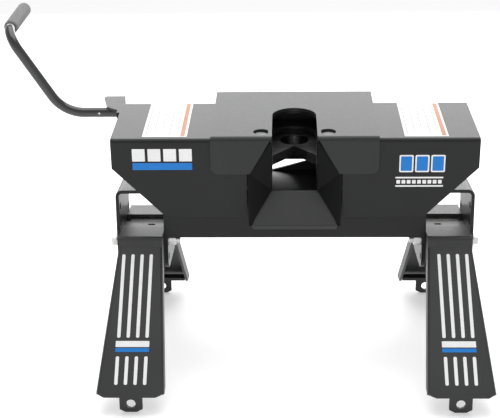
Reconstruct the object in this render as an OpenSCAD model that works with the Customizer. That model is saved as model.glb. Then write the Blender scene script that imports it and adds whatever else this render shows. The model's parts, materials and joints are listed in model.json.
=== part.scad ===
// Fifth wheel hitch: a tilting head with twin jaws on a four-legged base.
// Millimetres. Origin: centre of the four rail tabs, at the tabs' lower edge.
// +X is to the right, +Y towards the cab, +Z up. The release handle is on the left.

/* [Rail footprint] */
// Centre distance of the rail tabs, both fore and aft and side to side
rail_spacing = 558.8; // [552:0.1:566]
// Diameter of the pin hole in each rail tab
tab_hole_d = 16; // [13:0.5:18]
// Height of the pin hole above the tab's lower edge
tab_hole_z = 15; // [12:0.5:18]

/* [Legs] */
// Height of a leg's foot, where it rests on the rail
foot_z = 34; // [30:1:38]
// Distance of a leg's foot from the middle, along Y
foot_y = 298; // [294:1:300]
// Height of a leg's shoulder bend
shoulder_z = 236; // [232:1:240]
// Distance of a leg's shoulder bend from the middle, along Y
shoulder_y = 101.6; // [100:0.1:104]
// Width of a leg at its foot
foot_w = 117; // [110:1:124]
// Depth of a leg's side flanges
leg_flange = 30; // [26:1:34]
// Thickness of a leg's steel
leg_t = 5; // [4:0.5:6]

/* [Crossmember] */
// Overall width of the crossmember
cross_w = 642; // [638:1:646]
// Depth of the crossmember, along Y
cross_d = 137.2; // [132:0.2:142]
// Height of the crossmember's top
cross_z = 330; // [328:0.5:330]
// Thickness of the crossmember's steel
cross_t = 6; // [5:0.5:7]
// Vertical step between the height adjustment holes
height_step = 32; // [30:1:34]

/* [Head] */
// Width of the skid plate
head_w = 638; // [630:1:646]
// Depth of the skid plate, front bend to rear bend
head_d = 192.5; // [191:0.5:193]
// Depth of the front apron below the skid plate
apron_drop = 146; // [142:1:150]
// Half width of the apron's lower edge
apron_half = 227; // [222:1:232]
// Depth of the rear skirt below the skid plate
skirt_drop = 112; // [108:1:112]
// Thickness of the skid plate
skid_t = 6; // [5:0.5:6]
// Thickness of the centre plate
centre_t = 5; // [4:0.5:6]
// Half width of the centre plate
centre_half = 145.5; // [140:0.5:150]
// Half width of the kingpin slot
slot_half = 39.4; // [38.5:0.1:40]
// Height of the kingpin's centre on the skid plate
plate_z = 449; // [448:0.5:451]
// Distance of the kingpin's centre from the middle, along Y
kingpin_y = -13.6; // [-14:0.1:-13]
// Backward lean of the head at rest
rest_tilt = 7; // [6:0.5:7]

/* [Jaws and release] */
// Radius of the closed jaws, around the kingpin's neck
jaw_bore_r = 25.6; // [25.4:0.05:26]
// Travel of the release handle
handle_travel = 75; // [60:1:78]
// Travel of the yoke for that handle travel
yoke_travel = 30; // [24:1:30]
// Angle that each jaw opens through
jaw_open = 45; // [40:1:45]

/* [Handle] */
// Diameter of the handle rod
rod_d = 19; // [18:0.1:20]
// Length of the handle's rising part, between its two bends
rise_l = 182; // [170:1:190]
// Diameter of the grip
grip_d = 26; // [24:0.5:30]
// Length of the grip
grip_l = 135; // [110:1:140]

/* [Hidden] */
$fn = 64;

BLACK = "#2b2d30";
INNER = "#232527";
ZINC = "#c4c8cc";
STEEL = "#8d9195";
RUBBER = "#1b1b1c";

eps = 0.01;
fit = 0.05;          // radial running clearance of pins and rods
gap = 0.3;           // clearance between plates that slide on each other

leg_x = rail_spacing / 2;
tab_y = rail_spacing / 2;
tab_t = 6;
tab_w = 39;

end_x = cross_w / 2;              // outer face of the crossmember's end plate
end_in = end_x - cross_t;         // its inner face
upright_x = 229;                  // inner face of an inner upright
upright_t = 7;
ear_in = upright_x + upright_t;   // a leg fits between this and end_in
leg_top_z = 252;
tie_z = 244;                      // top of the plates between the legs
bolt_y = 54.6;
bolt_z = 233;
bolt_d = 12.7;
bolt_hole_d = 14;

rib_x = 180;                      // inner face of a head rib
rib_t = 8;
rib_drop = 104;
pivot_z = 372;                    // the head's tilt axis, at y = 0
pivot_d = 25.4;
stand_t = 8;

rod_r = rod_d / 2;
rod_y = 111;                      // the handle rod's axis, in the head's own frame
rod_z = -27.6;
rod_end_x = 66;
rod_corner_x = -435.9;
rod_angle = 58.4;
rod_bend_r = 70;
grip_bend_r = 38;
grip_start = 38;

front_y = -107;                   // the skid plate's front bend, in the head's own frame
rear_y = front_y + head_d;
centre_rear_y = 131;

jaw_top = -42;
jaw_bottom = -60;
jaw_pivot = [62, -56];
jaw_pivot_r = 8;
jaw_pin_at = [46, 26];
jaw_pin_r = 8;

yoke_top = -71;
yoke_bottom = -77;
yoke_half = 128;
tail_half = 58;
drive_x = 35;
drive_r = 7;

carrier_top_z = [-39.5, -31.5];
carrier_bottom_z = [-90, -82];

// ---------- helpers ----------

module both_sides() {
    children();
    mirror([1, 0, 0]) children();
}

module four_corners() {
    both_sides() {
        children();
        mirror([0, 1, 0]) children();
    }
}

// The head's own frame: origin at the kingpin's centre on the skid plate, leaning back
module head_frame() {
    translate([0, kingpin_y, plate_z]) rotate([rest_tilt, 0, 0]) children();
}

// A flat outline in YZ, as a plate from x0 with thickness t
module side_plate(x0, t) {
    translate([x0, 0, 0]) rotate([90, 0, 90]) linear_extrude(t) children();
}

// A flat outline in XZ, as a plate from y0 with thickness t towards +Y
module front_plate(y0, t) {
    translate([0, y0 + t, 0]) rotate([90, 0, 0]) linear_extrude(t) children();
}

// A flat outline in XY, as a plate between two heights
module flat_plate(z) {
    translate([0, 0, z[0]]) linear_extrude(z[1] - z[0]) children();
}

module x_cylinder(r, x0, x1) {
    translate([x0, 0, 0]) rotate([0, 90, 0]) cylinder(r = r, h = x1 - x0);
}

module y_cylinder(r, y0, y1) {
    translate([0, y0, 0]) rotate([-90, 0, 0]) cylinder(r = r, h = y1 - y0);
}

module rounded_rect(x0, x1, y0, y1, r) {
    translate([x0 + r, y0]) square([x1 - x0 - 2 * r, y1 - y0]);
    translate([x0, y0 + r]) square([x1 - x0, y1 - y0 - 2 * r]);
    for (x = [x0 + r, x1 - r], y = [y0 + r, y1 - r]) translate([x, y]) circle(r);
}

// A channel's cross-section, open downwards, with rounded outer and inner bends
module channel_profile(x0, x1, top, t, r, drop) {
    difference() {
        rounded_rect(x0, x1, top - drop - 2 * r, top, r);
        rounded_rect(x0 + t, x1 - t, top - drop - 2 * r, top - t, r - t);
        translate([x0 - 1, top - drop - 3 * r]) square([x1 - x0 + 2, 3 * r]);
    }
}

module hex_x(across, x0, x1) {
    translate([x0, 0, 0]) rotate([0, 90, 0]) cylinder(d = across / cos(30), h = x1 - x0, $fn = 6);
}

module ring_x(r_out, r_in, x0, x1) {
    difference() {
        x_cylinder(r_out, x0, x1);
        x_cylinder(r_in, x0 - 1, x1 + 1);
    }
}

// ---------- base ----------

slope_y = foot_y - shoulder_y;
slope_z = shoulder_z - foot_z;
slope_l = sqrt(slope_y * slope_y + slope_z * slope_z);
slope_angle = atan2(slope_z, slope_y);
leg_bend_r = 7;
leg_out = end_in - leg_x;         // a leg's outer face at its top, from its centre line
leg_in = ear_in - leg_x;          // its inner face there

leg_over = 12;                    // the slope is drawn this much too long, then trimmed

// A side edge of the sloping face (side 1 outer, -1 inner), x across and y down the slope
function leg_edge(side, y) = side > 0
    ? leg_out + (foot_w / 2 - leg_out) * y / slope_l
    : leg_in - (foot_w / 2 + leg_in) * y / slope_l;
function leg_flare(side) = atan2(leg_edge(side, slope_l) - leg_edge(side, 0), slope_l);
function leg_line(side, d, y) = [leg_edge(side, y) - side * d / cos(leg_flare(side)), y];

// The sloping face's outline, inset by d from its side edges
module leg_outline(d, over = leg_over) {
    y0 = -over;
    y1 = slope_l + over;
    polygon([leg_line(-1, d, y0), leg_line(1, d, y0), leg_line(1, d, y1), leg_line(-1, d, y1)]);
}

// A round outer bend along one side of the sloping face, a hair thinner than its flats
module leg_bend(side) {
    start = leg_line(side, leg_bend_r, -leg_over);
    translate([start[0], start[1], -leg_bend_r]) rotate([-90, 0, -leg_flare(side)])
        cylinder(r = leg_bend_r - 0.05, h = (slope_l + 2 * leg_over) / cos(leg_flare(side)));
}

// The corner cut off one side of the foot
module foot_chamfer(side) {
    w = 15;
    l = 10;
    x = side * (foot_w / 2 + w);
    polygon([[x, slope_l - 2 * l], [x, slope_l + 2 * l], [x - side * 4 * w, slope_l + 2 * l]]);
}

module leg_slope() {
    translate([0, shoulder_y, shoulder_z]) rotate([-slope_angle, 0, 0]) difference() {
        union() {
            translate([0, 0, -leg_flange]) linear_extrude(leg_flange - leg_bend_r) leg_outline(0);
            translate([0, 0, -leg_bend_r - 1]) linear_extrude(leg_bend_r + 1) leg_outline(leg_bend_r);
            leg_bend(1);
            leg_bend(-1);
        }
        translate([0, 0, -leg_flange - 1])
            linear_extrude(leg_flange + 1 - leg_t) leg_outline(leg_t, leg_over + 5);
        for (side = [-1, 1])
            translate([0, 0, -leg_flange - 1]) linear_extrude(leg_flange + 2) foot_chamfer(side);
    }
}

// The upright top of a leg: front face, bend and top flange in one strip
module leg_cap() {
    r = leg_bend_r;
    y0 = 36;
    z0 = shoulder_z - 5;
    side_plate(leg_in, leg_out - leg_in) {
        translate([y0, leg_top_z - leg_t]) square([shoulder_y - r - y0, leg_t]);
        translate([shoulder_y - leg_t, z0]) square([leg_t, leg_top_z - r - z0]);
        difference() {
            translate([shoulder_y - r, leg_top_z - r]) intersection() {
                circle(r);
                square(r);
            }
            translate([shoulder_y - r, leg_top_z - r]) circle(r - leg_t);
        }
    }
}

module leg_ear(x0) {
    side_plate(x0, leg_t) polygon([
        [36, 249], [93, 249], [99, 243], [99, 236], [106, 220], [106, 192], [62, 206], [36, 216]
    ]);
}

// One leg, in the corner with +X and +Y
module leg() {
    color(BLACK) translate([leg_x, 0, 0]) difference() {
        union() {
            difference() {
                leg_slope();
                translate([-foot_w, 0, 0]) cube([2 * foot_w, shoulder_y - 3, 2 * shoulder_z]);
            }
            leg_cap();
            leg_ear(leg_in);
            leg_ear(leg_out - leg_t);
        }
        translate([-foot_w, shoulder_y, foot_z - 80]) cube([2 * foot_w, foot_y, 80]);
        translate([0, bolt_y, bolt_z]) x_cylinder(bolt_hole_d / 2, -foot_w, foot_w);
    }
}

// A tab that drops through the rail, with the foot that stands on it
module rail_tab() {
    bevel_w = 9.75;
    bevel_h = 5;
    foot_depth = 24;
    color(BLACK) translate([leg_x, 0, 0]) difference() {
        union() {
            front_plate(tab_y - tab_t / 2, tab_t) polygon([
                [-tab_w / 2 + bevel_w, 0], [tab_w / 2 - bevel_w, 0], [tab_w / 2, bevel_h],
                [tab_w / 2, foot_z + 5], [-tab_w / 2, foot_z + 5], [-tab_w / 2, bevel_h]
            ]);
            translate([-50, tab_y + tab_t / 2 - foot_depth, foot_z]) cube([100, foot_depth, 6]);
        }
        translate([0, 0, tab_hole_z]) y_cylinder(tab_hole_d / 2, tab_y - 10, tab_y + 10);
    }
}

module height_holes(x0, x1) {
    for (y = [-bolt_y, bolt_y], n = [-1 : 2])
        translate([0, y, bolt_z + n * height_step]) x_cylinder(bolt_hole_d / 2, x0, x1);
}

module crossmember() {
    end_drop = 140;
    color(BLACK) difference() {
        front_plate(-cross_d / 2, cross_d)
            channel_profile(-end_x, end_x, cross_z, cross_t, 12, end_drop);
        height_holes(end_in - 1, end_x + 1);
        height_holes(-end_x - 1, -end_in + 1);
    }
}

module web(y0) {
    web_bottom = 241;
    color(BLACK) translate([-upright_x, y0, web_bottom])
        cube([2 * upright_x, cross_t, cross_z - cross_t - web_bottom]);
}

module upright() {
    bottom = 179;
    corner = 20;
    half = cross_d / 2;
    color(BLACK) difference() {
        side_plate(upright_x, upright_t) union() {
            translate([-half, bottom + corner]) square([2 * half, cross_z - cross_t - bottom - corner]);
            translate([-half + corner, bottom]) square([2 * half - 2 * corner, corner + 1]);
            for (y = [-half + corner, half - corner]) translate([y, bottom + corner]) circle(corner);
        }
        height_holes(upright_x - 1, upright_x + upright_t + 1);
    }
}

// The plate that ties an upright to the crossmember's end, between the two legs
module tie() {
    color(BLACK) difference() {
        translate([ear_in, -19, tie_z - 6]) cube([end_in - ear_in, 38, 6]);
        for (x = [-3, 3]) translate([(ear_in + end_in) / 2 - 10 + x, -1, tie_z - 7]) cylinder(r = 4, h = 8);
    }
}

module leg_spacers() {
    color(ZINC) four_corners() translate([0, bolt_y, bolt_z])
        ring_x(10, bolt_hole_d / 2, ear_in + leg_t, end_in - leg_t);
}

// A plate across the crossmember's rear edge that the head leans on at full tilt
module tilt_stop() {
    half = 60;
    low = 2;
    high = 20;
    color(BLACK) front_plate(cross_d / 2 - 6, 6) translate([0, cross_z]) polygon([
        [-half, 0], [half, 0], [half, high], [30, high], [-40, low], [-half, low]
    ]);
}

washer_t = 2.5;
nut_h = 11;

module leg_bolts() {
    head_x = end_x + washer_t;
    color(ZINC) four_corners() translate([0, bolt_y, bolt_z]) {
        x_cylinder(bolt_d / 2, upright_x - washer_t - nut_h - 8, head_x + 1);
        hex_x(19, head_x, head_x + 8);
    }
}

module leg_washers() {
    color(ZINC) four_corners() translate([0, bolt_y, bolt_z]) {
        ring_x(11, bolt_d / 2 + 0.2, end_x, end_x + washer_t);
        ring_x(11, bolt_d / 2 + 0.2, upright_x - washer_t, upright_x);
    }
}

module leg_nuts() {
    color(ZINC) four_corners() translate([0, bolt_y, bolt_z]) difference() {
        hex_x(19, upright_x - washer_t - nut_h, upright_x - washer_t);
        x_cylinder(bolt_d / 2 + fit, upright_x - 30, upright_x);
    }
}

ear_inner_x = rib_x - gap - stand_t;      // the stand's inner ear
ear_outer_x = rib_x + rib_t + gap;        // its outer ear

// A fork on the crossmember that carries one side of the head
module pivot_stand() {
    base_t = 6;
    base_half = 45;
    base_x0 = ear_inner_x - 7;
    base_x1 = ear_outer_x + stand_t + 7;
    color(BLACK) difference() {
        union() {
            translate([base_x0, -base_half, cross_z])
                cube([base_x1 - base_x0, 2 * base_half, base_t]);
            for (x = [ear_inner_x, ear_outer_x]) side_plate(x, stand_t) {
                translate([0, pivot_z]) circle(24);
                polygon([[-36, cross_z + base_t], [36, cross_z + base_t], [23, pivot_z], [-23, pivot_z]]);
            }
        }
        translate([0, 0, pivot_z]) x_cylinder(pivot_d / 2, ear_inner_x - 1, ear_outer_x + stand_t + 1);
    }
}

pivot_head_h = 11;
pivot_nut_h = 14;

module pivot_bolts() {
    color(ZINC) both_sides() translate([0, 0, pivot_z]) {
        x_cylinder(pivot_d / 2 - 0.02, ear_inner_x - 1, ear_outer_x + stand_t + pivot_nut_h + 4);
        hex_x(38, ear_inner_x - pivot_head_h, ear_inner_x);
    }
}

module pivot_nuts() {
    nut_x = ear_outer_x + stand_t;
    color(ZINC) both_sides() translate([0, 0, pivot_z]) difference() {
        hex_x(38, nut_x, nut_x + pivot_nut_h);
        x_cylinder(pivot_d / 2, nut_x - 1, nut_x + pivot_nut_h + 1);
    }
}

// Rubber pads that the head's ribs rest on
module tilt_bumpers() {
    color(RUBBER) both_sides() difference() {
        translate([rib_x - 4, -cross_d / 2 + 2, cross_z]) cube([rib_t + 8, 18, 14]);
        head_frame() translate([0, -200, -rib_drop - gap]) cube([400, 400, 100]);
    }
}

// ---------- head ----------

// The front view of the skid plate: square shoulders, then 45 degree sides
module head_outline() {
    shoulder = 53.5;
    run = head_w / 2 - apron_half;
    polygon([
        [-head_w / 2, 10], [head_w / 2, 10], [head_w / 2, -shoulder],
        [apron_half, -apron_drop], [apron_half - run / 2, -apron_drop - 10],
        [-apron_half + run / 2, -apron_drop - 10], [-apron_half, -apron_drop], [-head_w / 2, -shoulder]
    ]);
}

module slot_outline(half) {
    translate([-half, front_y - 30]) square([2 * half, -front_y + 30]);
    circle(half);
}

// The two inspection holes over the carrier studs, each flat on its slot side
module stud_windows() {
    for (side = [-1, 1]) difference() {
        translate([side * 58, -83]) circle(13.7);
        translate([side * 26 - 20, -103]) square([40, 40]);
    }
}

// The opening in the skid plate's apron, with room for the funnel walls
module funnel_opening() {
    polygon([
        [-46, 20], [46, 20], [46, -6], [83.3, -62.5], [83.3, -apron_drop - 20],
        [-83.3, -apron_drop - 20], [-83.3, -62.5], [-46, -6]
    ]);
}

module skid_plate() {
    bend_r = 7;
    color(BLACK) head_frame() difference() {
        intersection() {
            side_plate(-head_w / 2, head_w)
                channel_profile(front_y, rear_y, 0, skid_t, bend_r, apron_drop);
            front_plate(front_y - 10, head_d + 20) head_outline();
        }
        translate([-head_w, rear_y - skid_t - 1, -apron_drop - 20])
            cube([2 * head_w, skid_t + 2, apron_drop + 20 - skirt_drop]);
        front_plate(front_y - 1, skid_t + 1.5) funnel_opening();
        flat_plate([-skid_t - 1, 1]) slot_outline(slot_half);
        translate([-tail_half - 4, rear_y - skid_t - 1, yoke_bottom - 4])
            cube([2 * tail_half + 8, skid_t + 2, yoke_top - yoke_bottom + 8]);
    }
}

module centre_plate() {
    flap = 62.5;
    corner_w = 12;
    corner_h = 9;
    outer_r = 8;
    color(BLACK) head_frame() difference() {
        intersection() {
            side_plate(-centre_half, 2 * centre_half) difference() {
                rounded_rect(front_y - centre_t, 300, -300, centre_t, outer_r);
                rounded_rect(front_y, 300, -300, 0, outer_r - centre_t);
                translate([centre_rear_y, -400]) square(500);
            }
            front_plate(front_y - 20, 300) polygon([
                [-centre_half, 20], [centre_half, 20], [centre_half, corner_h - flap],
                [centre_half - corner_w / 2, 2 - flap], [centre_half - corner_w, -flap],
                [-centre_half + corner_w, -flap], [-centre_half + corner_w / 2, 2 - flap],
                [-centre_half, corner_h - flap]
            ]);
        }
        flat_plate([-1, centre_t + 1]) {
            slot_outline(slot_half);
            stud_windows();
        }
        front_plate(front_y - centre_t - 10, centre_t + 11) polygon([
            [-slot_half, 20], [slot_half, 20], [slot_half, centre_t], [78, -flap], [78, -flap - 10],
            [-78, -flap - 10], [-78, -flap], [-slot_half, centre_t]
        ]);
    }
}

// Corners of a funnel wall's mid-surface: top front, knee, lip, and the two inner ones
wall_t = 5;
wall_a = [42.5, -104, -8.6];
wall_b = [80.5, -104.5, -65];
wall_c = [77.5, -131, -152];
wall_d = [42, -82, -105];
wall_e = [42, -82, -8.6];

module panel(corners) {
    hull() for (p = corners) translate(p) sphere(d = wall_t, $fn = 24);
}

module funnel_wall() {
    color(INNER) head_frame() {
        panel([wall_a, wall_b, wall_e]);
        panel([wall_b, wall_d, wall_e]);
        panel([wall_b, wall_c, wall_d]);
    }
}

// The sloping floor of the funnel, with a turned-down lip
module funnel_ramp() {
    lip_y = -132;
    lip_z = -151;
    rise = 45;
    run = 48.5;
    ramp_l = sqrt(rise * rise + run * run);
    lip_drop = 8;
    color(BLACK) head_frame() {
        translate([0, lip_y, lip_z]) rotate([atan2(rise, run), 0, 0])
            translate([0, 0, -5]) linear_extrude(5)
                polygon([[-74, 0], [74, 0], [38, ramp_l], [-38, ramp_l]]);
        translate([-73, lip_y, lip_z - lip_drop]) cube([146, 5, lip_drop - 1]);
    }
}

pivot_in_head = [
    -kingpin_y * cos(rest_tilt) - (plate_z - pivot_z) * sin(rest_tilt),
    kingpin_y * sin(rest_tilt) - (plate_z - pivot_z) * cos(rest_tilt)
];

module head_rib() {
    color(BLACK) head_frame() difference() {
        side_plate(rib_x, rib_t) polygon([
            [front_y + skid_t, -skid_t - 2], [front_y + skid_t + 2, -skid_t],
            [rear_y - skid_t - 2, -skid_t], [rear_y - skid_t, -skid_t - 2], [rear_y - skid_t, -84],
            [60, -rib_drop], [-78, -rib_drop], [front_y + skid_t, -88]
        ]);
        translate([0, pivot_in_head[0], pivot_in_head[1]])
            x_cylinder(pivot_d / 2 + fit, rib_x - 1, rib_x + rib_t + 1);
    }
}

// Outline of a jaw carrier: its front edge follows the funnel wall, and notch_x clears the stands
module carrier_outline(front_edge, notch_x) {
    both_halves() difference() {
        polygon(concat([[0, -74]], front_edge, [
            [rib_x, front_y + skid_t], [rib_x, -41], [notch_x, -41], [notch_x, 59], [rib_x, 59],
            [rib_x, rear_y - skid_t], [0, rear_y - skid_t]
        ]));
        slot_outline(slot_half);
    }
}

module both_halves() {
    children();
    mirror([1, 0]) children();
}

module pin_holes(r, z) {
    both_sides() translate([jaw_pivot[0], jaw_pivot[1], z[0] - 1]) cylinder(r = r, h = z[1] - z[0] + 2);
}

stud_r = 6;
stud_at = [60, -80];

module carrier_top() {
    color(INNER) head_frame() difference() {
        flat_plate(carrier_top_z) carrier_outline(
            [[42, -76], [64.5, -90.5], [67, -93], [67, front_y + skid_t]], rib_x);
        pin_holes(jaw_pivot_r + 0.02, carrier_top_z);
        both_sides() translate([stud_at[0], stud_at[1], -60]) cylinder(r = stud_r, h = 60);
    }
}

module carrier_bottom() {
    color(INNER) head_frame() difference() {
        flat_plate(carrier_bottom_z) carrier_outline(
            [[42, -76], [66.5, -91.5], [76.5, front_y + skid_t]], 152);
        pin_holes(jaw_pivot_r + 0.02, carrier_bottom_z);
    }
}

module carrier_studs() {
    color(ZINC) head_frame() both_sides()
        translate([stud_at[0], stud_at[1], carrier_top_z[0]])
            cylinder(r = stud_r - 0.02, h = -skid_t - carrier_top_z[0]);
}

module jaw_pivot_pins() {
    pin_bottom = -97;
    color(ZINC) head_frame() both_sides() translate([jaw_pivot[0], jaw_pivot[1], 0]) {
        translate([0, 0, pin_bottom]) cylinder(r = jaw_pivot_r, h = carrier_top_z[1] - pin_bottom + 1);
        translate([0, 0, carrier_top_z[1]]) cylinder(r = 13, h = 6);
    }
}

module jaw_pin_clips() {
    color(ZINC) head_frame() both_sides() difference() {
        translate([jaw_pivot[0], jaw_pivot[1], carrier_bottom_z[0] - 3]) cylinder(r = 13, h = 3);
        translate([jaw_pivot[0], jaw_pivot[1], -100]) cylinder(r = jaw_pivot_r + 0.02, h = 20);
    }
}

// A C-shaped rail that holds one edge of the yoke
module yoke_rail() {
    color(STEEL) head_frame() front_plate(-40, 99) difference() {
        translate([yoke_half - 10, carrier_bottom_z[1]]) square([18, 15.5]);
        translate([yoke_half - 11, yoke_bottom - gap])
            square([11 + gap, yoke_top - yoke_bottom + 2 * gap]);
    }
}

// A gusset under the centre plate that also guides the handle rod
module rod_guide(x0) {
    color(BLACK) head_frame() difference() {
        side_plate(x0, 6) polygon([
            [rear_y, 0], [127, 0], [127, -22], [121, -43], [101, -43], [rear_y, -64]
        ]);
        translate([0, rod_y, rod_z]) x_cylinder(rod_r + fit, x0 - 1, x0 + 7);
    }
}

// The ear that carries the handle rod, with a guard turned out over the rod
module handle_bracket() {
    ear_t = 6;
    x1 = -head_w / 2;
    x0 = x1 - ear_t;
    color(BLACK) head_frame() difference() {
        union() {
            side_plate(x0, ear_t) polygon([
                [32, 0], [124, 0], [124, -34], [117, -45], [102, -45], [42, -16], [32, -10]
            ]);
            flat_plate([-5, 0]) polygon([
                [x0 + 1, 47], [x0 - 4, 49], [x0 - 21, 63], [x0 - 33, 117], [x0 - 30, 124], [x0 + 1, 124]
            ]);
        }
        translate([0, rod_y, rod_z]) x_cylinder(rod_r + fit, x0 - 1, x1 + 1);
    }
}

collar_x = -200;

module handle_spring() {
    color(STEEL) head_frame() translate([0, rod_y, rod_z])
        ring_x(14.5, 10.5, -head_w / 2, collar_x);
}

// ---------- moving parts ----------

module jaw_outline() {
    difference() {
        union() {
            polygon([
                [gap / 2, -30], [38.5, -76], [62, -76], [82, -56], [84, 0], [78, 24],
                [60, 40], [14, 40], [gap / 2, 36]
            ]);
            translate(jaw_pivot) circle(20);
        }
        circle(jaw_bore_r);
        translate(jaw_pivot) circle(jaw_pivot_r + fit);
        translate(jaw_pin_at) circle(jaw_pin_r);
    }
}

module jaw() {
    color(STEEL) head_frame() flat_plate([jaw_bottom, jaw_top]) jaw_outline();
}

module jaw_pin() {
    color(ZINC) head_frame() translate([jaw_pin_at[0], jaw_pin_at[1], yoke_bottom - 3])
        cylinder(r = jaw_pin_r - 0.02, h = jaw_top - yoke_bottom + 3);
}

// Where the right jaw's drive pin sits in the yoke, when the release is at fraction t
function turned(v, a) = [v[0] * cos(a) + v[1] * sin(a), v[1] * cos(a) - v[0] * sin(a)];
function cam_point(t) = jaw_pivot + turned(jaw_pin_at - jaw_pivot, jaw_open * t) - [0, yoke_travel * t];
function unit(v) = v / norm(v);
function cam_side(t, r) = cam_point(t)
    + r * unit([cam_point(t + eps)[1] - cam_point(t)[1], cam_point(t)[0] - cam_point(t + eps)[0]]);

module cam_slot() {
    r = jaw_pin_r + 0.5;
    steps = 10;
    polygon([
        for (i = [0 : steps]) cam_side(i / steps, r),
        for (i = [steps : -1 : 0]) cam_side(i / steps, -r)
    ]);
    for (t = [0, 1]) translate(cam_point(t)) circle(r);
}

// The straight slot that turns the handle's pull into the yoke's slide
module drive_slot() {
    r = drive_r + 0.5;
    slot_l = sqrt(handle_travel * handle_travel + yoke_travel * yoke_travel);
    translate([drive_x, rod_y]) rotate(180 + atan2(yoke_travel, handle_travel)) {
        translate([0, -r]) square([slot_l, 2 * r]);
        circle(r);
        translate([slot_l, 0]) circle(r);
    }
}

module yoke() {
    color(STEEL) head_frame() flat_plate([yoke_bottom, yoke_top]) difference() {
        both_halves() difference() {
            polygon([
                [0, 20], [38, -2], [62, -8], [90, -34], [yoke_half, -34], [yoke_half, 27],
                [74, 27], [tail_half, 43], [tail_half, rod_y + 14], [0, rod_y + 14]
            ]);
            cam_slot();
        }
        circle(38);
        drive_slot();
    }
}

// Points where the rod's centre line would have its corners
rise_dir = [-cos(rod_angle), 0, sin(rod_angle)];
corner_1 = [rod_corner_x, rod_y, rod_z];
corner_2 = corner_1 + rise_l * rise_dir;
bend_run = rod_bend_r * tan(rod_angle / 2);
lap = 1;                          // the rod's lengths run this far into its bends
bend_swell = 0.05;                // and its bends are this much thicker

// A bend in the rod: starts at p heading along u, and turns towards v
module rod_bend(p, u, v, r, angle) {
    w = cross(v, -u);
    c = p + r * v;
    multmatrix([
        [-v[0], u[0], w[0], c[0]], [-v[1], u[1], w[1], c[1]],
        [-v[2], u[2], w[2], c[2]], [0, 0, 0, 1]
    ]) rotate_extrude(angle = angle) translate([r, 0]) circle(rod_r + bend_swell);
}

// A straight length of the rod, rising at an angle in the XZ plane
module rod_run(p, angle, l) {
    translate(p) rotate([0, -90 + angle, 0]) cylinder(r = rod_r, h = l);
}

module handle_rod() {
    color(BLACK) head_frame() difference() {
        union() {
            translate([0, rod_y, rod_z]) x_cylinder(rod_r, rod_corner_x + bend_run - lap, rod_end_x);
            rod_bend(corner_1 + [bend_run, 0, 0], [-1, 0, 0], [0, 0, 1], rod_bend_r, rod_angle);
            rod_run(corner_1 + (bend_run - lap) * rise_dir, rod_angle,
                rise_l - bend_run - grip_bend_r + 2 * lap);
            rod_bend(corner_2 - grip_bend_r * rise_dir, rise_dir, [0, 1, 0], grip_bend_r, 90);
            translate(corner_2) y_cylinder(rod_r, grip_bend_r - lap, grip_start + grip_l - 8);
        }
        translate([-368, rod_y, rod_z]) y_cylinder(2.5, -20, 20);
    }
}

module handle_collar() {
    color(ZINC) head_frame() translate([0, rod_y, rod_z])
        ring_x(16, rod_r + 0.02, collar_x, collar_x + 12);
}

module drive_lug() {
    color(STEEL) head_frame() difference() {
        translate([drive_x - 11, rod_y - 12, rod_z - 22]) cube([22, 24, 35]);
        translate([0, rod_y, rod_z]) x_cylinder(rod_r + 0.02, drive_x - 20, drive_x + 20);
    }
}

module drive_pin() {
    pin_top = rod_z - 22;
    pin_bottom = yoke_bottom - 3;
    color(ZINC) head_frame() translate([drive_x, rod_y, pin_bottom])
        cylinder(r = drive_r, h = pin_top - pin_bottom);
}

module handle_grip() {
    r = grip_d / 2;
    round_r = 4;
    color(RUBBER) head_frame() translate(corner_2 + [0, grip_start, 0]) rotate([-90, 0, 0])
        rotate_extrude() difference() {
            intersection() {
                rounded_rect(-r, r, 0, grip_l, round_r);
                square([r, grip_l]);
            }
            translate([-1, -1]) square([rod_r + 0.02 + 1, grip_l - 7]);
        }
}

// ---------- placement ----------

module at_corner(left, front) {
    mirror([left, 0, 0]) mirror([0, front, 0]) children();
}

crossmember();
web(-cross_d / 2);  // web_front
web(cross_d / 2 - cross_t);  // web_rear
mirror([1, 0, 0]) upright();  // upright_left
upright();  // upright_right
mirror([1, 0, 0]) tie();  // tie_left
tie();  // tie_right
at_corner(1, 1) leg();  // leg_front_left
at_corner(0, 1) leg();  // leg_front_right
at_corner(1, 0) leg();  // leg_rear_left
at_corner(0, 0) leg();  // leg_rear_right
at_corner(1, 1) rail_tab();  // tab_front_left
at_corner(0, 1) rail_tab();  // tab_front_right
at_corner(1, 0) rail_tab();  // tab_rear_left
at_corner(0, 0) rail_tab();  // tab_rear_right
leg_spacers();
leg_bolts();
leg_washers();
leg_nuts();
mirror([1, 0, 0]) pivot_stand();  // pivot_stand_left
pivot_stand();  // pivot_stand_right
pivot_bolts();
pivot_nuts();
tilt_bumpers();
tilt_stop();
skid_plate();
centre_plate();
mirror([1, 0, 0]) funnel_wall();  // funnel_wall_left
funnel_wall();  // funnel_wall_right
funnel_ramp();
mirror([1, 0, 0]) head_rib();  // head_rib_left
head_rib();  // head_rib_right
carrier_top();
carrier_bottom();
carrier_studs();
jaw_pivot_pins();
jaw_pin_clips();
mirror([1, 0, 0]) yoke_rail();  // yoke_rail_left
yoke_rail();  // yoke_rail_right
rod_guide(-68);  // rod_guide_left
rod_guide(52);  // rod_guide_right
handle_bracket();
handle_spring();
mirror([1, 0, 0]) jaw();  // jaw_left
jaw();  // jaw_right
mirror([1, 0, 0]) jaw_pin();  // jaw_pin_left
jaw_pin();  // jaw_pin_right
yoke();
handle_rod();
handle_collar();
drive_lug();
drive_pin();
handle_grip();
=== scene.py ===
import json
import math

import bmesh
import bpy
from mathutils import Matrix, Vector


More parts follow.
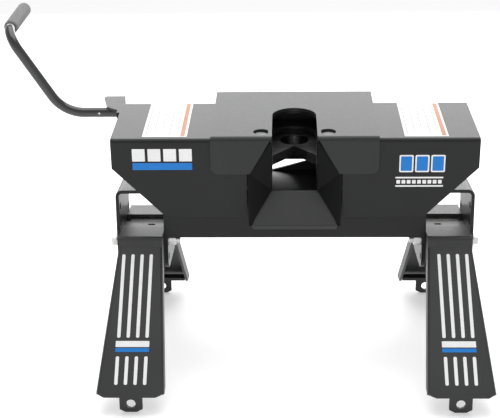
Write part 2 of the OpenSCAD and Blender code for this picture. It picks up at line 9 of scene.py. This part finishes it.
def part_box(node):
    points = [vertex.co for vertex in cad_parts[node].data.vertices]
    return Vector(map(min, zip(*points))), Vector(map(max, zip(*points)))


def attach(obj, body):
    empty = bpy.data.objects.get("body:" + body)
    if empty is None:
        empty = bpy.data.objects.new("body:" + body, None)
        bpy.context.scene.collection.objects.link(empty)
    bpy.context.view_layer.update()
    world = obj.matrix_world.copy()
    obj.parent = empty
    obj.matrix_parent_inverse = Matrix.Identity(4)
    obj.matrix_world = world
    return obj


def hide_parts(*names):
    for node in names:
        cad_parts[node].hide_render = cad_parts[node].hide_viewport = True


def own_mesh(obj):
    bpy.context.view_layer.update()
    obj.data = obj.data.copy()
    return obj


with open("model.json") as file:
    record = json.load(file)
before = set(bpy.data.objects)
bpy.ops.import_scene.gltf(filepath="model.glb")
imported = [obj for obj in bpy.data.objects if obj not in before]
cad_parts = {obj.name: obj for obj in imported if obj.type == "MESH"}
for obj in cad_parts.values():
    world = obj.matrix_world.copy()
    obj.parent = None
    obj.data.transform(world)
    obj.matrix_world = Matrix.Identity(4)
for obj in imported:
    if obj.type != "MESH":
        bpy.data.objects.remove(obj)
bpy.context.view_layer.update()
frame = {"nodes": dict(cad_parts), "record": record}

MM = 0.001
X = Vector((1, 0, 0))
NODES = frame["nodes"]
RECORD = frame["record"]
MOUNTS = {m["name"]: m for m in RECORD["mounts"]}
SLOT_OF = {s["node"]: s["material_slot"] for s in RECORD["subparts"]}

# The head leans, so its own directions come from the plate the trailer rests on.
PLATE_AT = Vector(MOUNTS["trailer_plate"]["pos_m"])
HEAD_UP = Vector(MOUNTS["trailer_plate"]["axis"])
HEAD_BACK = HEAD_UP.cross(X)
HEAD_LEAN = math.atan2(HEAD_BACK.z, HEAD_BACK.y)


# ---------- node helpers ----------

def new_material(name, metallic=0.0, roughness=0.5, specular=0.5, coat=0.0, coat_roughness=0.1):
    mat = bpy.data.materials.new(name)
    mat.use_nodes = True
    nt = mat.node_tree
    bsdf = nt.nodes["Principled BSDF"]
    bsdf.inputs["Metallic"].default_value = metallic
    bsdf.inputs["Roughness"].default_value = roughness
    bsdf.inputs["Specular IOR Level"].default_value = specular
    bsdf.inputs["Coat Weight"].default_value = coat
    bsdf.inputs["Coat Roughness"].default_value = coat_roughness
    return mat, nt, bsdf


def noise(nt, scale, detail=2.0, stretch=(1, 1, 1)):
    """Noise over the object's own coordinates; scale counts features per metre."""
    coord = nt.nodes.new("ShaderNodeTexCoord")
    mapping = nt.nodes.new("ShaderNodeMapping")
    mapping.inputs["Scale"].default_value = stretch
    tex = nt.nodes.new("ShaderNodeTexNoise")
    tex.inputs["Scale"].default_value = scale
    tex.inputs["Detail"].default_value = detail
    nt.links.new(coord.outputs["Object"], mapping.inputs["Vector"])
    nt.links.new(mapping.outputs["Vector"], tex.inputs["Vector"])
    return tex.outputs["Fac"]


def bands(nt, scale, lean):
    """Rings square to an axis that lies along Y and leans up by an angle."""
    coord = nt.nodes.new("ShaderNodeTexCoord")
    mapping = nt.nodes.new("ShaderNodeMapping")
    mapping.inputs["Rotation"].default_value = (-lean, 0, 0)
    wave = nt.nodes.new("ShaderNodeTexWave")
    wave.wave_type = "BANDS"
    wave.bands_direction = "Y"
    wave.inputs["Scale"].default_value = scale
    nt.links.new(coord.outputs["Object"], mapping.inputs["Vector"])
    nt.links.new(mapping.outputs["Vector"], wave.inputs["Vector"])
    return wave.outputs["Fac"]


def remap(nt, value, lo, hi, from_lo=0.3, from_hi=0.7):
    node = nt.nodes.new("ShaderNodeMapRange")
    node.inputs["From Min"].default_value = from_lo
    node.inputs["From Max"].default_value = from_hi
    node.inputs["To Min"].default_value = lo
    node.inputs["To Max"].default_value = hi
    nt.links.new(value, node.inputs["Value"])
    return node.outputs["Result"]


def mix_colour(nt, fac, a, b):
    """Colour a where fac is 0 and b where it is 1; either may be a colour or a socket."""
    node = nt.nodes.new("ShaderNodeMix")
    node.data_type = "RGBA"
    nt.links.new(fac, node.inputs["Factor"])
    for name, c in (("A", a), ("B", b)):
        socket = next(s for s in node.inputs if s.name == name and s.type == "RGBA")
        if isinstance(c, bpy.types.NodeSocket):
            nt.links.new(c, socket)
        else:
            socket.default_value = (*c, 1.0)
    return next(s for s in node.outputs if s.type == "RGBA")


def mottle(nt, scale, detail, dark, light):
    """Two tones that change places with noise."""
    return mix_colour(nt, remap(nt, noise(nt, scale, detail), 0, 1), dark, light)


def edge_mask(nt, radius, lo=0.02, hi=0.25):
    """1 along edges and 0 on flats, from how much a bevel of that radius turns the normal."""
    bevel = nt.nodes.new("ShaderNodeBevel")
    bevel.inputs["Radius"].default_value = radius
    geo = nt.nodes.new("ShaderNodeNewGeometry")
    dot = nt.nodes.new("ShaderNodeVectorMath")
    dot.operation = "DOT_PRODUCT"
    nt.links.new(bevel.outputs["Normal"], dot.inputs[0])
    nt.links.new(geo.outputs["Normal"], dot.inputs[1])
    return remap(nt, dot.outputs["Value"], 1.0, 0.0, 1.0 - hi, 1.0 - lo)


def set_colour(nt, bsdf, colour):
    nt.links.new(colour, bsdf.inputs["Base Color"])


def vary_roughness(nt, bsdf, scale, detail, lo, hi):
    nt.links.new(remap(nt, noise(nt, scale, detail), lo, hi), bsdf.inputs["Roughness"])


def bump(nt, bsdf, height, strength, distance, bevel_radius=0.0):
    node = nt.nodes.new("ShaderNodeBump")
    node.inputs["Strength"].default_value = strength
    node.inputs["Distance"].default_value = distance
    nt.links.new(height, node.inputs["Height"])
    if bevel_radius:
        bevel = nt.nodes.new("ShaderNodeBevel")
        bevel.inputs["Radius"].default_value = bevel_radius
        nt.links.new(bevel.outputs["Normal"], node.inputs["Normal"])
    nt.links.new(node.outputs["Normal"], bsdf.inputs["Normal"])


# ---------- material makers ----------

def powder_coat(name, dark, light, roughness, specular=0.35):
    """Painted steel with a fine orange peel, and edges painted paler: a painted highlight along bends, in
    part worn paint.
    """
    mat, nt, bsdf = new_material(name, specular=specular)
    edge = 1.2 * MM
    # Paler colour along edges: a painted highlight, in part worn paint.
    worn_and_highlit = tuple(2.2 * c + 0.01 for c in light)
    tone = mottle(nt, 5.0, 2.0, dark, light)
    set_colour(nt, bsdf, mix_colour(nt, edge_mask(nt, edge), tone, worn_and_highlit))
    vary_roughness(nt, bsdf, 260.0, 2.0, roughness - 0.03, roughness + 0.03)
    bump(nt, bsdf, noise(nt, 1400.0), 0.12, 0.12 * MM, edge)
    return mat


def plated(name, dark, light, roughness):
    """Zinc or bare spring wire: metal with a fine cloudy grain."""
    mat, nt, bsdf = new_material(name, metallic=1.0)
    grain = 160.0
    set_colour(nt, bsdf, mottle(nt, grain, 3.0, dark, light))
    vary_roughness(nt, bsdf, 2 * grain, 2.0, roughness - 0.08, roughness + 0.1)
    bump(nt, bsdf, noise(nt, 900.0), 0.15, 0.15 * MM, 0.6 * MM)
    return mat


def brushed(name, dark, light, roughness):
    """Greased dark steel with streaks along X."""
    mat, nt, bsdf = new_material(name, metallic=1.0)
    streak = noise(nt, 220.0, 3.0, stretch=(0.06, 1, 1))
    set_colour(nt, bsdf, mix_colour(nt, remap(nt, streak, 0, 1), dark, light))
    vary_roughness(nt, bsdf, 40.0, 3.0, roughness - 0.1, roughness + 0.1)
    bump(nt, bsdf, streak, 0.2, 0.15 * MM, 0.8 * MM)
    return mat


def gloss_paint(name, colour):
    """Gloss paint on bar, under a clear coat that waves slightly."""
    mat, nt, bsdf = new_material(name, roughness=0.16, coat=0.6, coat_roughness=0.06)
    set_colour(nt, bsdf, mottle(nt, 14.0, 3.0, colour, tuple(1.8 * c for c in colour)))
    bump(nt, bsdf, noise(nt, 120.0, 1.0), 0.1, 0.2 * MM)
    return mat


def ribbed_rubber(name, dark, light, lean):
    """A grip with rings square to its leaning length, and grooves between them painted darker as shade."""
    mat, nt, bsdf = new_material(name, specular=0.3)
    ribs = bands(nt, 55.0, lean)
    # The grooves' darker colour is painted shade.
    groove_shade = tuple(0.55 * c for c in dark)
    tone = mottle(nt, 130.0, 4.0, dark, light)
    set_colour(nt, bsdf, mix_colour(nt, remap(nt, ribs, 0, 1, 0.1, 0.5), groove_shade, tone))
    vary_roughness(nt, bsdf, 300.0, 2.0, 0.58, 0.68)
    bump(nt, bsdf, ribs, 0.6, 0.8 * MM)
    return mat


def rubber(name, dark, light, roughness):
    mat, nt, bsdf = new_material(name, specular=0.35)
    set_colour(nt, bsdf, mottle(nt, 130.0, 4.0, dark, light))
    vary_roughness(nt, bsdf, 300.0, 2.0, roughness - 0.06, roughness + 0.06)
    bump(nt, bsdf, noise(nt, 1500.0), 0.35, 0.2 * MM, 0.8 * MM)
    return mat


def vinyl(name, colour):
    """Printed label film: nearly even, with a faint gloss wave."""
    mat, nt, bsdf = new_material(name, specular=0.3)
    set_colour(nt, bsdf, mottle(nt, 45.0, 3.0, colour, tuple(0.93 * c for c in colour)))
    vary_roughness(nt, bsdf, 70.0, 2.0, 0.32, 0.42)
    bump(nt, bsdf, noise(nt, 90.0, 1.0), 0.1, 0.1 * MM)
    return mat


# ---------- materials: one for each slot of the record, then what differs within a slot ----------

FINISHES = {
    "black_powder_coat": (powder_coat, (0.008, 0.0083, 0.0088), (0.0105, 0.011, 0.0115), 0.36, 0.28),
    "leg_powder_coat": (powder_coat, (0.022, 0.0225, 0.023), (0.029, 0.0295, 0.03), 0.44, 0.4),
    "zinc_plate": (plated, (0.50, 0.50, 0.49), (0.66, 0.66, 0.64), 0.34),
    "bare_steel": (brushed, (0.035, 0.035, 0.036), (0.075, 0.075, 0.075), 0.45),
    "spring_steel": (plated, (0.24, 0.24, 0.25), (0.36, 0.36, 0.37), 0.35),
    "rod_gloss_black": (gloss_paint, (0.008, 0.008, 0.009)),
    "grip_rubber": (ribbed_rubber, (0.15, 0.15, 0.155), (0.19, 0.19, 0.195), HEAD_LEAN),
    "bumper_rubber": (rubber, (0.012, 0.012, 0.012), (0.02, 0.02, 0.02), 0.7),
    "label_white": (vinyl, (0.86, 0.86, 0.86)),
}
MATERIALS = {slot: make(slot, *values) for slot, (make, *values) in FINISHES.items()}

# The centre plate and the ramp are coated a little paler, as painted light, and the funnel's walls darker,
# as painted shade: lit and shaded copies of the black coat.
CENTRE_COAT_PAINTED_LIGHTER = powder_coat("centre_coat_painted_lighter", (0.021, 0.0215, 0.022), (0.025, 0.0255, 0.026), 0.38, 0.27)
RAMP_COAT_PAINTED_LIGHTER = powder_coat("ramp_coat_painted_lighter", (0.018, 0.0185, 0.019), (0.022, 0.0225, 0.023), 0.38, 0.45)
WALL_COAT_PAINTED_SHADE = powder_coat("funnel_coat_painted_shade", (0.0035, 0.0036, 0.0038), (0.005, 0.0052, 0.0054), 0.42, 0.12)
# Nodes that take a painted-lighter or painted-shade copy of the coat instead of their slot's.
COATS_WITH_PAINTED_LIGHT = {
    "centre_plate": CENTRE_COAT_PAINTED_LIGHTER, "funnel_ramp": RAMP_COAT_PAINTED_LIGHTER,
    "funnel_wall_left": WALL_COAT_PAINTED_SHADE, "funnel_wall_right": WALL_COAT_PAINTED_SHADE,
}

LABEL_WHITE = MATERIALS["label_white"]
LABEL_BLUE = vinyl("label_blue", (0.008, 0.19, 0.60))
LABEL_ORANGE = vinyl("label_orange", (0.45, 0.13, 0.03))
# Grey film for the wing labels' printed rules, and for patches of painted light under the centre plate's
# windows.
GREY_PRINT_AND_PAINTED_LIGHT = vinyl("grey_print_and_painted_light", (0.30, 0.30, 0.31))

for name, obj in NODES.items():
    obj.data.materials.clear()
    obj.data.materials.append(COATS_WITH_PAINTED_LIGHT.get(name, MATERIALS[SLOT_OF[name]]))


# ---------- places taken from the frame ----------

def axes(origin, x, z):
    """A matrix with its X along x and its Z along z."""
    z = z.normalized()
    x = (x - z * x.dot(z)).normalized()
    y = z.cross(x)
    return Matrix((
        (x.x, y.x, z.x, origin.x), (x.y, y.y, z.y, origin.y),
        (x.z, y.z, z.z, origin.z), (0, 0, 0, 1),
    ))


def largest_flat(node, toward):
    """A node's outermost big flat that looks towards a direction: its corners and its normal."""
    least_cosine, layer, big_share = 0.995, 0.3 * MM, 0.4
    toward = toward.normalized()
    layers = {}
    for p in NODES[node].data.polygons:
        if p.normal.dot(toward) > least_cosine:
            layers.setdefault(round(p.center.dot(toward) / layer), []).append(p)
    area = {key: sum(p.area for p in faces) for key, faces in layers.items()}
    least_area = big_share * max(area.values())
    best = layers[max(key for key in layers if area[key] > least_area)]
    normal = sum((p.normal * p.area for p in best), Vector()).normalized()
    verts = [NODES[node].data.vertices[i].co for p in best for i in p.vertices]
    return verts, normal


def head_plane(node, toward):
    """A place on a node's big flat, straight out from the kingpin's axis at the plate's height."""
    verts, normal = largest_flat(node, toward)
    jaws = Vector(MOUNTS["kingpin_jaws"]["pos_m"])
    origin = jaws + HEAD_UP * (PLATE_AT - jaws).dot(HEAD_UP)
    return axes(origin + normal * (verts[0] - origin).dot(normal), X, normal)


WING_TOP = head_plane("skid_plate", HEAD_UP)
WING_DROP = (PLATE_AT - WING_TOP.translation).dot(HEAD_UP)
# The wings' plane has its origin on the kingpin's axis, and the apron's is level with the wings' top.
APRON = head_plane("skid_plate", -HEAD_BACK) @ Matrix.Translation((0, -WING_DROP, 0))


# ---------- piece makers ----------

def add_mesh(name, bm, material, body, smooth=True):
    mesh = bpy.data.meshes.new(name)
    bm.to_mesh(mesh)
    bm.free()
    for p in mesh.polygons:
        p.use_smooth = smooth
    mesh.materials.append(material)
    obj = bpy.data.objects.new(name, mesh)
    bpy.context.scene.collection.objects.link(obj)
    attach(obj, body)
    return obj


def circle(centre, radius, u, v, sides):
    angles = (2 * math.pi * k / sides for k in range(sides))
    return [centre + radius * (u * math.cos(a) + v * math.sin(a)) for a in angles]


def tube(sections):
    """A closed skin over a row of sections, each a loop with the same number of points."""
    bm = bmesh.new()
    rings = [[bm.verts.new(point) for point in section] for section in sections]
    for a, b in zip(rings, rings[1:]):
        for k in range(len(a)):
            n = (k + 1) % len(a)
            bm.faces.new((a[k], a[n], b[n], b[k]))
    bm.faces.new(rings[0][::-1])
    bm.faces.new(rings[-1])
    bmesh.ops.recalc_face_normals(bm, faces=bm.faces)
    return bm


# ---------- release spring ----------

def add_release_spring():
    """A round-wire coil round the handle rod, between the bracket and the collar."""
    lo, hi = (Vector(c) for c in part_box("handle_spring"))
    axis_y, axis_z = (lo.y + hi.y) / 2, (lo.z + hi.z) / 2
    wire_r = 1.7 * MM
    coil_r = (hi.y - lo.y) / 2 - wire_r
    turns, closed_turns = 12, 1.5               # all of them, and those wound closed at each end
    steps, sides = 40 * turns, 8
    x0, x1 = lo.x + wire_r, hi.x - wire_r
    closed = 2 * wire_r * closed_turns
    share = closed_turns / turns
    sections = []
    for i in range(steps + 1):
        t = i / steps
        if t < share:
            x = x0 + closed * t / share
        elif t > 1 - share:
            x = x1 - closed * (1 - t) / share
        else:
            x = x0 + closed + (x1 - x0 - 2 * closed) * (t - share) / (1 - 2 * share)
        a = 2 * math.pi * turns * t
        out = Vector((0, math.cos(a), math.sin(a)))
        sections.append(circle(Vector((x, axis_y, axis_z)) + out * coil_r, wire_r, out, X, sides))
    obj = add_mesh("release_spring", tube(sections), MATERIALS["spring_steel"], "head")
    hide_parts("handle_spring")
    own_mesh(obj)


# ---------- labels, and patches of painted light: plain bars and panels of film, measured in mm on their plane ---

OVER_PANEL = 0.25       # lift of what is printed on a panel, which is more than film's own 0.15


def film(name, place, xs, ys, body, material, corner=0.8, lift=0.15):
    """A rounded rectangle of film on a plane, with its top that far off the surface."""
    (x0, x1), (y0, y1) = xs, ys
    r = min(corner, (x1 - x0) / 2, (y1 - y0) / 2)
    corners = ((x1 - r, y1 - r), (x0 + r, y1 - r), (x0 + r, y0 + r), (x1 - r, y0 + r))
    steps, root = 4, 0.01
    loop = []
    for quarter, (cx, cy) in enumerate(corners):
        for k in range(steps + 1):
            a = math.pi / 2 * (quarter + k / steps)
            loop.append((cx + r * math.cos(a), cy + r * math.sin(a)))
    bm = bmesh.new()
    top = [bm.verts.new(place @ Vector((x * MM, y * MM, lift * MM))) for x, y in loop]
    low = [bm.verts.new(place @ Vector((x * MM, y * MM, root * MM))) for x, y in loop]
    bm.faces.new(top)
    for k in range(len(loop)):
        n = (k + 1) % len(loop)
        bm.faces.new((low[k], low[n], top[n], top[k]))
    return add_mesh(name, bm, material, body, smooth=False)


def block_row(count, x0, x1, gap):
    """The x spans of equal blocks side by side."""
    pitch = (x1 - x0 + gap) / count
    return [(x0 + k * pitch, x0 + (k + 1) * pitch - gap) for k in range(count)]


def add_leg_labels(node):
    """Four long stripes, a white bar over a blue one, and four short stripes below them."""
    sloping_front = Vector((0, -0.72, 0.70))
    verts, normal = largest_flat(node, sloping_front)
    down = X.cross(normal)
    down = down if down.z < 0 else -down
    lo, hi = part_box(node)
    middle = Vector(((lo[0] + hi[0]) / 2, 0, 0))
    top = min(verts, key=lambda v: v.dot(down)) - middle
    place = axes(middle + down * top.dot(down) + normal * top.dot(normal), X, normal)
    stripes, pitch, half_width, end_r = 4, 16.3, 2.9, 2.4
    for k in range(stripes):
        x = (k - (stripes - 1) / 2) * pitch
        xs = (x - half_width, x + half_width)
        film(f"{node}_stripe_{k}", place, xs, (-174, -16), "base", LABEL_WHITE, end_r)
        film(f"{node}_short_stripe_{k}", place, xs, (-259, -208), "base", LABEL_WHITE, end_r)
    bar = (-29, 29)
    film(f"{node}_white_bar", place, bar, (-191, -180), "base", LABEL_WHITE)
    film(f"{node}_blue_bar", place, bar, (-200, -193), "base", LABEL_BLUE)


def add_wing_label(side, panel_x, panel_y, strip_x):
    """A white panel with an orange strip along its right side and faint grey rules."""
    film(f"wing_label_{side}", WING_TOP, panel_x, panel_y, "head", LABEL_WHITE)
    y0, y1 = panel_y
    strip, border = (strip_x, strip_x + 7.5), 3
    film(f"wing_strip_{side}", WING_TOP, strip, (y0 + border, y1 - border), "head", LABEL_ORANGE,
         lift=OVER_PANEL)
    rules, half_width, margin = 5, 0.8, 6
    first, last = panel_x[0] + margin, strip_x - margin
    for k in range(rules):
        x = first + k * (last - first) / (rules - 1)
        inset = 12 + 14 * (k % 3)                # three lengths of rule in turn
        film(f"wing_rule_{side}_{k}", WING_TOP, (x - half_width, x + half_width),
             (y0 + inset, y1 - inset), "head", GREY_PRINT_AND_PAINTED_LIGHT, lift=OVER_PANEL)


def add_apron_labels():
    """Blocks over a blue bar on the left, and badges over a lined row of small blocks on the right."""
    x0, x1 = -282, -178
    for k, xs in enumerate(block_row(4, x0, x1, 5)):
        film(f"apron_block_{k}", APRON, xs, (-40, -17), "head", LABEL_WHITE)
    film("apron_blue_bar", APRON, (x0, x1), (-56, -43), "head", LABEL_BLUE)
    x0, x1, rim = 181, 260, 2.5
    y0, y1 = -61.5, -29.5
    for k, (left, right) in enumerate(block_row(3, x0, x1, 3)):
        film(f"apron_badge_{k}", APRON, (left, right), (y0, y1), "head", LABEL_WHITE, 2.5)
        film(f"apron_badge_core_{k}", APRON, (left + rim, right - rim), (y0 + rim, y1 - rim), "head",
             LABEL_BLUE, 1.5, OVER_PANEL)
    half_width = 1.4
    for k, y in enumerate((-71.7, -87.5)):
        film(f"apron_line_{k}", APRON, (x0 - 6, x1 - 2), (y - half_width, y + half_width), "head",
             LABEL_WHITE)
    for k, xs in enumerate(block_row(9, x0 - 4, x1 - 4.6, 2.6)):
        film(f"apron_small_block_{k}", APRON, xs, (-83, -76.2), "head", LABEL_WHITE)


def add_window_light_patches():
    """Pale grey round patches on the skid plate, seen through the centre plate's two windows: painted
    light, where the plate shows lit from above.
    """
    inner, outer, ys, corner = 47.5, 70, (-95, -71.5), 10.5
    film("window_painted_light_left", WING_TOP, (-outer, -inner), ys, "head", GREY_PRINT_AND_PAINTED_LIGHT, corner)
    film("window_painted_light_right", WING_TOP, (inner, outer), ys, "head", GREY_PRINT_AND_PAINTED_LIGHT, corner)


# ---------- weld beads ----------

def add_weld(name, start, end, radius, body, material):
    """A rippled bead of weld, painted over, along a straight seam."""
    start, end = Vector(start), Vector(end)
    length = (end - start).length
    along = (end - start).normalized()
    side = along.orthogonal().normalized()
    up = along.cross(side)
    ripple, sides = 1.3 * MM, 10
    steps = max(8, int(length / ripple))
    sections = []
    for i in range(steps + 1):
        t = i / steps
        taper = min(1.0, 0.35 + 6 * min(t, 1 - t))
        r = radius * taper * (1 + 0.1 * math.cos(math.pi * i))
        sections.append(circle(start + along * (length * t), r, side, up, sides))
    add_mesh(name, tube(sections), material, body)


def add_base_welds():
    """Beads at the foot of each pivot stand and on both faces of each rail tab."""
    stand_inset, stand_r = 4 * MM, 2.2 * MM
    tab_t, tab_half, tab_r = 6.3 * MM, 17 * MM, 1.8 * MM
    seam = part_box("crossmember")[1][2] + MM
    for side in ("left", "right"):
        lo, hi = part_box(f"pivot_stand_{side}")
        x0, x1 = lo[0] + stand_inset, hi[0] - stand_inset
        for k, y in enumerate((lo[1], hi[1])):
            add_weld(f"stand_weld_{side}_{k}", (x0, y, seam), (x1, y, seam), stand_r, "base",
                     MATERIALS["black_powder_coat"])
        for end in ("front", "rear"):
            lo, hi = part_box(f"tab_{end}_{side}")
            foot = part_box(f"leg_{end}_{side}")[0][2]
            middle = (lo[0] + hi[0]) / 2
            x0, x1 = middle - tab_half, middle + tab_half
            outer = max(lo[1], hi[1], key=abs)
            inner = outer - math.copysign(tab_t, outer)
            for k, y in enumerate((outer, inner)):
                add_weld(f"tab_weld_{end}_{side}_{k}", (x0, y, foot), (x1, y, foot), tab_r, "base",
                         MATERIALS["leg_powder_coat"])


def add_funnel_welds():
    """Beads along the seams between the ramp and the funnel walls, which close in towards the slot."""
    lo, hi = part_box("funnel_ramp")
    half_low, half_high = 74.6 * MM, 38.8 * MM
    for name, side in (("left", -1), ("right", 1)):
        low = (side * half_low, lo[1] + 2 * MM, lo[2] + 9 * MM)
        high = (side * half_high, hi[1] - 2.5 * MM, hi[2] + 0.5 * MM)
        add_weld(f"funnel_weld_{name}", low, high, 1.6 * MM, "head", MATERIALS["leg_powder_coat"])


add_release_spring()
add_window_light_patches()
add_funnel_welds()
add_wing_label("left", panel_x=(-265, -187), panel_y=(-92, 81), strip_x=-198.5)
add_wing_label("right", panel_x=(190, 265.5), panel_y=(-94, 77), strip_x=254.5)
add_apron_labels()
add_base_welds()
for leg in ("leg_front_left", "leg_front_right"):
    add_leg_labels(leg)


# ---------- camera, light and floor ----------

CAMERA_AT = Vector((-0.01524, -2.16459, 0.95124))
CAMERA_TURN = (-1.76, 17.38, -0.64)     # degrees: yaw, how far it looks down, and roll
CAMERA_LENS, CAMERA_SENSOR = 88.2, 36.0


def add_camera():
    yaw, pitch, roll = (math.radians(a) for a in CAMERA_TURN)
    ahead = Vector((math.sin(yaw) * math.cos(pitch), math.cos(yaw) * math.cos(pitch), -math.sin(pitch)))
    level = Vector((math.cos(yaw), -math.sin(yaw), 0))
    upward = level.cross(ahead)
    right = level * math.cos(roll) + upward * math.sin(roll)
    cam = bpy.data.objects.new("camera", bpy.data.cameras.new("camera"))
    cam.data.sensor_width = CAMERA_SENSOR
    cam.data.lens = CAMERA_LENS
    cam.matrix_world = axes(CAMERA_AT, right, -ahead)
    bpy.context.scene.collection.objects.link(cam)
    bpy.context.scene.camera = cam


def add_panel_light(name, width, height, watts, at, look_at):
    light = bpy.data.lights.new(name, "AREA")
    light.shape = "RECTANGLE"
    light.size, light.size_y = width, height
    light.energy = watts
    obj = bpy.data.objects.new(name, light)
    obj.location = at
    obj.rotation_euler = (Vector(look_at) - Vector(at)).to_track_quat("-Z", "Y").to_euler()
    bpy.context.scene.collection.objects.link(obj)


def add_world():
    """White at the horizon, so the background stays white, and greyer from some way up."""
    white, grey, all_grey_from = (1, 1, 1), (0.62, 0.62, 0.62), 0.35
    world = bpy.data.worlds.new("studio")
    world.use_nodes = True
    nt = world.node_tree
    coord = nt.nodes.new("ShaderNodeTexCoord")
    split = nt.nodes.new("ShaderNodeSeparateXYZ")
    nt.links.new(coord.outputs["Generated"], split.inputs["Vector"])
    height = remap(nt, split.outputs["Z"], 0, 1, 0.0, all_grey_from)
    nt.links.new(mix_colour(nt, height, white, grey), nt.nodes["Background"].inputs["Color"])
    bpy.context.scene.world = world


def add_floor():
    """A wide white floor just under the tabs, which glows a little so that it stays white."""
    bm = bmesh.new()
    bmesh.ops.create_grid(bm, x_segments=8, y_segments=8, size=20.0)
    mesh = bpy.data.meshes.new("floor")
    bm.to_mesh(mesh)
    bm.free()
    mat, nt, bsdf = new_material("floor_white", roughness=0.9, specular=0.1)
    set_colour(nt, bsdf, mix_colour(nt, noise(nt, 3.0), (0.86, 0.86, 0.86), (0.88, 0.88, 0.88)))
    bsdf.inputs["Emission Color"].default_value = (1, 1, 1, 1)
    bsdf.inputs["Emission Strength"].default_value = 0.35
    mesh.materials.append(mat)
    floor = bpy.data.objects.new("floor", mesh)
    floor.location.z = -0.5 * MM
    bpy.context.scene.collection.objects.link(floor)


add_camera()
add_world()
add_panel_light("overhead", 3.0, 3.0, 60, (0, 0.3, 3.0), (0, 0, 0.3))
add_panel_light("behind", 5.0, 2.4, 118, (0, 3.6, 1.9), (0, 0, 0.4))
add_floor()
bpy.context.scene.view_settings.view_transform = "Standard"
